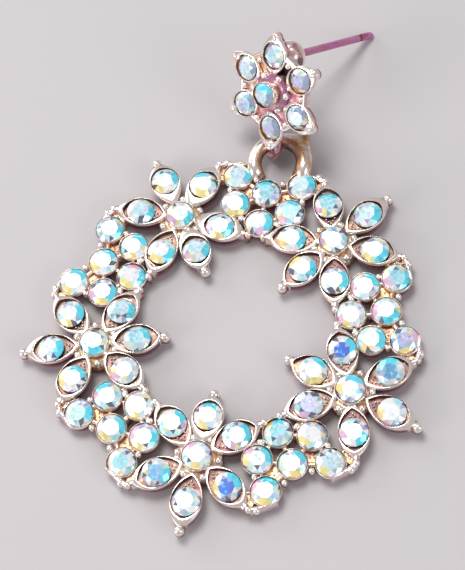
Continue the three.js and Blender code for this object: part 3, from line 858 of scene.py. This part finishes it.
def facet_colours(centres, radius, rng, mood=""):
    """The colour on each facet. The table has one tone with some wedges of another, the crown has a
    tone for each facet by chance, and a patch is a disc on the stone with a place and a size that
    takes every crown facet whose middle lies in it. Cyan towards the upper right, or pewter on the
    stud, and straw and pink towards the lower left are painted coloured reflections; white on the
    left is a painted highlight; smoke lies anywhere."""
    spots = centres[:, :2] / radius
    upper = "pewter" if mood.startswith("stud") else "cyan"
    table = np.linalg.norm(spots, axis=1) < TABLE_EDGE
    colours = picked(rng, CROWN_CHANCES, len(centres))
    # Name, angle, distance and size in radii, and the chance that the patch is there
    patches = [
        ("white", 170 + 40 * rng.standard_normal(), 0.75, 0.5 + 0.2 * rng.random(), 0.6),
        ("straw", -115 + 34 * rng.standard_normal(), 0.95, 0.42 + 0.16 * rng.random(), 0.6),
        ("pink", -150 + 50 * rng.standard_normal(), 0.95, 0.34 + 0.2 * rng.random(), 0.45),
        ("smoke", 360 * rng.random(), 0.95, 0.26, 0.3),
        (upper, 35 + 42 * rng.standard_normal(), 0.82, 0.46 + 0.24 * rng.random(), 0.85),
    ]
    for name, angle, distance, size, chance in patches:
        near = np.linalg.norm(spots - polar(distance, angle)[:2], axis=1) < size
        if rng.random() < chance:
            colours[near] = COATINGS[name]
    # The stud's hub stone gets a painted cyan reflection on its upper side
    if mood == "stud_hub":
        colours[spots[:, 1] > 0.4] = COATINGS["cyan"]
    chances = {"cool": COOL_TABLE_CHANCES, "stud": STUD_TABLE_CHANCES,
               "stud_hub": STUD_TABLE_CHANCES}.get(mood, TABLE_CHANCES)
    tone = picked(rng, chances)
    if mood in COATINGS:
        tone = np.array(COATINGS[mood])
    colours[table] = tone
    plain = tone.min() > 0.9
    other = table & (rng.random(len(centres)) < (0.12 if plain else 0.3))
    wedges = picked(rng, WEDGE_CHANCES, other.sum() or None)
    colours[other] = 0.5 * tone + 0.5 * wedges
    shade = 1 - (0.1 if plain else 0.3) * rng.random((len(centres), 1)) ** 2
    return np.clip(colours * shade, 0, 1)


class Tray:
    """Crystals that make one piece, with each facet's colour, painted reflections and highlight
    included.
    """

    def __init__(self):
        self.points, self.faces, self.colours, self.count = [], [], [], 0

    def add(self, radius, setting, loose, place, rng, mood=""):
        """Adds a crystal with the top of its girdle at a place, turned as its setting is and
        within it as it sits loose."""
        points, triangles, sides = cut_crystal(radius)
        centres = np.vstack([points[triangles].mean(axis=1), points[sides].mean(axis=1)])
        mood = mood or ("cool" if place[1] > COOL_FROM else "")
        colours = facet_colours(centres @ loose.T, radius, rng, mood)
        turn = setting @ loose
        self.faces += (triangles + self.count).tolist() + (sides + self.count).tolist()
        corners = [3] * len(triangles) + [4] * len(sides)
        self.colours.append(np.repeat(colours, corners, axis=0))
        self.points.append(points @ turn.T + np.array(place, float))
        self.count += len(points)

    def piece(self, name, material):
        """The crystals as one Blender object, flat shaded."""
        mesh = bpy.data.meshes.new(name)
        mesh.from_pydata((np.vstack(self.points) * MM).tolist(), [], self.faces)
        layer = mesh.color_attributes.new("coating", "FLOAT_COLOR", "CORNER")
        colours = np.vstack(self.colours)
        values = np.hstack([colours, np.ones((len(colours), 1))]).astype(np.float32)
        layer.data.foreach_set("color", values.ravel())
        return placed(name, mesh, material)


# Finishes

def new_finish(name):
    """A material with its nodes, the shader, and a maker of further nodes that are linked to
    what feeds them."""
    material = bpy.data.materials.new(name)
    material.use_nodes = True
    tree = material.node_tree
    shader = tree.nodes.get("Principled BSDF")
    if shader is None:
        tree.nodes.clear()
        shader = tree.nodes.new("ShaderNodeBsdfPrincipled")
        output = tree.nodes.new("ShaderNodeOutputMaterial")
        tree.links.new(shader.outputs["BSDF"], output.inputs["Surface"])

    def node(kind, settings=(), **inputs):
        """A node with its settings; i0, i1 and so on name an input by its number."""
        made = tree.nodes.new(kind)
        for key, value in dict(settings).items():
            setattr(made, key, value)
        for key, value in inputs.items():
            numbered = key[0] == "i" and key[1:].isdigit()
            socket = made.inputs[int(key[1:]) if numbered else key]
            if isinstance(value, bpy.types.NodeSocket):
                tree.links.new(value, socket)
            else:
                socket.default_value = value
        return made

    return material, shader, node, tree.links.new


def ramp(node, stops, factor):
    """A colour ramp with the given stops, position and colour."""
    made = node("ShaderNodeValToRGB", i0=factor)
    elements = made.color_ramp.elements
    while len(elements) < len(stops):
        elements.new(1.0)
    for element, (position, colour) in zip(elements, stops):
        element.position = position
        element.color = (*colour, 1.0)
    return made.outputs["Color"]


def mixed(node, factor, first, second, blend="MIX"):
    """Two colours blended by a factor."""
    made = node("ShaderNodeMix", {"data_type": "RGBA", "blend_type": blend}, i0=factor, i6=first,
                i7=second)
    return made.outputs[2]


def plated_metal():
    """Pale rose gold plate: cream on proud edges, painted shade from gold brown to umber in the
    recesses, painted pink reflection where its value says so, with clouds of a warmer tone that
    grow with the painted shade, fine casting grain and worn gloss."""
    material, shader, node, link = new_finish("rose_gold_plate")
    place = node("ShaderNodeTexCoord").outputs["Object"]
    hollow = node("ShaderNodeAttribute", {"attribute_name": "hollow"}).outputs["Fac"]
    blush = node("ShaderNodeAttribute", {"attribute_name": "blush"}).outputs["Fac"]
    clouds = node("ShaderNodeTexNoise", Vector=place, Scale=620.0, Detail=4.0, Roughness=0.6)
    grain = node("ShaderNodeTexNoise", Vector=place, Scale=5200.0, Detail=2.0, Roughness=0.5)
    specks = node("ShaderNodeTexNoise", Vector=place, Scale=2600.0, Detail=3.0, Roughness=0.65)
    blend = node("ShaderNodeMath", {"operation": "ADD"}, i0=clouds.outputs["Fac"],
                 i1=specks.outputs["Fac"]).outputs[0]
    uneven = node("ShaderNodeMath", {"operation": "MULTIPLY_ADD"}, i0=blend, i1=0.75,
                  i2=-0.74).outputs[0]
    # Painted shade from the mesh, made uneven by the clouds and specks
    depth = node("ShaderNodeMath", {"operation": "ADD", "use_clamp": True}, i0=hollow,
                 i1=uneven).outputs[0]
    tone = ramp(node, [
        (0.0, (0.97, 0.91, 0.86)), (0.2, (0.91, 0.77, 0.66)), (0.42, (0.70, 0.40, 0.17)),
        (0.66, (0.31, 0.20, 0.16)), (1.0, (0.13, 0.09, 0.09)),
    ], depth)
    drift = node("ShaderNodeTexNoise", Vector=place, Scale=190.0, Detail=2.0).outputs["Fac"]
    mauve = node("ShaderNodeMapRange", i0=drift, i1=0.5, i2=0.6, i3=0.0, i4=0.5).outputs[0]
    # Pink: warmer clouds scaled by the painted shade, plus the painted pink reflection
    pinker = node("ShaderNodeMath", {"operation": "MULTIPLY_ADD", "use_clamp": True}, i0=mauve,
                  i1=depth, i2=blush).outputs[0]
    pink = mixed(node, pinker, tone, (0.60, 0.22, 0.48, 1), "MULTIPLY")
    link(pink, shader.inputs["Base Color"])
    gloss = node("ShaderNodeMapRange", i0=depth, i1=0.0, i2=1.0, i3=0.16, i4=0.55).outputs[0]
    link(gloss, shader.inputs["Roughness"])
    bump = node("ShaderNodeBump", Strength=0.22, Distance=0.00002, Height=grain.outputs["Fac"])
    link(bump.outputs["Normal"], shader.inputs["Normal"])
    shader.inputs["Metallic"].default_value = 0.82
    return material


def coated_crystal():
    """Foil backed crystal with a rainbow coat: each facet's colour, painted reflections and
    highlight included, drifts a little across the facet, with clear gloss on top."""
    material, shader, node, link = new_finish("rainbow_coated_crystal")
    place = node("ShaderNodeTexCoord").outputs["Object"]
    colour = node("ShaderNodeAttribute", {"attribute_name": "coating"}).outputs["Color"]
    drift = node("ShaderNodeTexNoise", Vector=place, Scale=1500.0, Detail=3.0, Roughness=0.6)
    veil = ramp(node, [
        (0.30, (0.86, 0.97, 1.0)), (0.5, (1.0, 1.0, 1.0)), (0.7, (1.0, 0.93, 0.98)),
    ], drift.outputs["Fac"])
    tinted = mixed(node, 0.8, colour, veil, "MULTIPLY")
    link(tinted, shader.inputs["Base Color"])
    shader.inputs["Metallic"].default_value = 0.2
    shader.inputs["Roughness"].default_value = 0.14
    shader.inputs["IOR"].default_value = 1.7
    shader.inputs["Coat Weight"].default_value = 1.0
    shader.inputs["Coat Roughness"].default_value = 0.03
    shader.inputs["Coat IOR"].default_value = 1.6
    return material


def pale_floor():
    """A plain pale floor with a barely uneven tone."""
    material, shader, node, link = new_finish("pale_floor")
    place = node("ShaderNodeTexCoord").outputs["Object"]
    cloud = node("ShaderNodeTexNoise", Vector=place, Scale=9.0, Detail=2.0, Roughness=0.5)
    tone = ramp(node, [(0.3, (0.50, 0.475, 0.485)), (0.7, (0.52, 0.49, 0.50))],
                cloud.outputs["Fac"])
    link(tone, shader.inputs["Base Color"])
    shader.inputs["Roughness"].default_value = 0.7
    return material


# The earring

metal = plated_metal()
crystal = coated_crystal()

wreath = Casting()
for k in range(FLOWERS):
    add_flower(wreath, k)
    add_cluster(wreath, k)
    add_webs(wreath, k)
add_ring(wreath)
wreath_metal = wreath.piece("wreath_metal", metal, EDGE_ANGLE)
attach(wreath_metal, "root")
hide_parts("wreath_setting")

stud = Casting()
add_stud_flower(stud)
add_loop(stud)
add_pad_and_post(stud)
stud_turn = turned_matrix(STUD_TURNS)
stud.moved(stud_turn, STUD_PLACE)
stud_metal = stud.piece("stud_metal", metal, EDGE_ANGLE)
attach(stud_metal, "root")
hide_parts("stud_setting")

rng = np.random.default_rng(SEED)


def loose_turn(name=""):
    """How a crystal sits in its cup: turned anyhow about its axis, and tilted a few degrees."""
    tilt = TILT * rng.standard_normal(2)
    tilt = SET_TILTS.get(name, tilt)
    return turned_matrix([(tilt[0], "X"), (tilt[1], "Y"), (360 * rng.random(), "Z")])


def set_crystal(name, radius, setting, place):
    """One crystal in the place of the CAD stone of that name."""
    tray = Tray()
    mood = MOODS.get(name, "")
    tray.add(radius, setting, loose_turn(name), place, rng, mood)
    piece = tray.piece(f"{name}_crystal", crystal)
    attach(piece, "root")
    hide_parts(f"{name}_stone")


def above(height):
    """The step straight up by a height."""
    return np.array([0.0, 0.0, height])


level = np.eye(3)
for k in range(FLOWERS):
    set_crystal(f"flower_{k + 1}_hub", CRYSTAL_RADIUS, level,
                flat(flower_hubs[k]) + above(HUB_RIM - RIM_ABOVE_GIRDLE))
    for petal in PETALS:
        set_crystal(f"flower_{k + 1}_{petal}", CRYSTAL_RADIUS, level,
                    petal_line(k, petal)[0] + above(PETAL_RIM - RIM_ABOVE_GIRDLE))

set_crystal("stud_hub", STUD_CRYSTAL_RADIUS, stud_turn,
            STUD_PLACE + stud_turn @ above(STUD_HUB_RIM - RIM_ABOVE_GIRDLE))
for i in range(STUD_PETALS):
    girdle = polar(STUD_REACH, stud_petal_angle(i)) - above(RIM_ABOVE_GIRDLE)
    set_crystal(f"stud_petal_{i + 1}", STUD_CRYSTAL_RADIUS, stud_turn,
                STUD_PLACE + stud_turn @ girdle)

for k in range(FLOWERS):
    tray = Tray()
    for cup in CLUSTER_CUPS:
        tray.add(CRYSTAL_RADIUS, level, loose_turn(),
                 on_cluster(k, cup) + above(CLUSTER_RIM - RIM_ABOVE_GIRDLE), rng)
    cluster_crystals = tray.piece(f"cluster_{k + 1}_crystals", crystal)
    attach(cluster_crystals, "root")


# Floor, lights and camera

FLOOR_SIZE = 3.0
SOFTBOX_DISTANCE = 0.5
# Softboxes: way from the earring, size, watts and colour
SOFTBOXES = {
    "overhead_softbox": ((-0.2, 0.22, 0.95), 0.21, 1.6, (1.0, 0.99, 0.97)),
    "side_softbox": ((0.9, -0.35, 0.6), 0.22, 0.5, (0.95, 0.98, 1.0)),
    "front_softbox": ((-0.68, -0.66, 0.42), 0.25, 0.8, (1.0, 0.97, 0.98)),
    "left_softbox": ((-0.81, 0.38, 0.42), 0.3, 0.7, (1.0, 0.99, 0.99)),
}
STUDIO_COLOUR = (0.86, 0.87, 0.92, 1)
STUDIO_STRENGTH = 0.42
# Camera: place in millimetres, the way it looks, what stands upright in it, and its lens
CAMERA_PLACE = (27.803, -57.289, 130.680)
CAMERA_WAY = (-0.2004, 0.3811, -0.9026)
CAMERA_UPRIGHT = (-0.1687, 0.8941, 0.4150)
SENSOR_WIDTH = 36
LENS = 102.64


def add_floor():
    """A flat square under the earring."""
    half = FLOOR_SIZE / 2
    mesh = bpy.data.meshes.new("floor")
    mesh.from_pydata([(-half, -half, 0), (half, -half, 0), (half, half, 0), (-half, half, 0)], [],
                     [(0, 1, 2, 3)])
    floor = placed("floor", mesh, pale_floor())


def add_softbox(name, way, size, watts, colour):
    """A square area light that stands off from the earring and is turned to it."""
    lamp = bpy.data.lights.new(name, "AREA")
    lamp.size = size
    lamp.energy = watts
    lamp.color = colour
    box = bpy.data.objects.new(name, lamp)
    way = Vector(way).normalized()
    box.location = way * SOFTBOX_DISTANCE
    box.rotation_mode = "QUATERNION"
    box.rotation_quaternion = way.to_track_quat("Z", "Y")
    bpy.context.scene.collection.objects.link(box)


def add_camera():
    """The camera at the photograph's angle, from its measured place, way and upright."""
    way = Vector(CAMERA_WAY).normalized()
    right = way.cross(Vector(CAMERA_UPRIGHT)).normalized()
    up = right.cross(way)
    lens = bpy.data.cameras.new("camera")
    lens.sensor_width = SENSOR_WIDTH
    lens.lens = LENS
    lens.clip_start, lens.clip_end = 0.01, 10
    camera = bpy.data.objects.new("camera", lens)
    axes = Matrix((right, up, -way)).transposed().to_4x4()
    camera.matrix_world = Matrix.Translation(Vector(CAMERA_PLACE) * MM) @ axes
    bpy.context.scene.collection.objects.link(camera)
    bpy.context.scene.camera = camera


add_floor()
for name, values in SOFTBOXES.items():
    add_softbox(name, *values)
world = bpy.data.worlds.new("studio")
bpy.context.scene.world = world
world.use_nodes = True
background = world.node_tree.nodes.get("Background")
background.inputs["Color"].default_value = STUDIO_COLOUR
background.inputs["Strength"].default_value = STUDIO_STRENGTH
add_camera()
bpy.context.scene.view_settings.view_transform = "Standard"
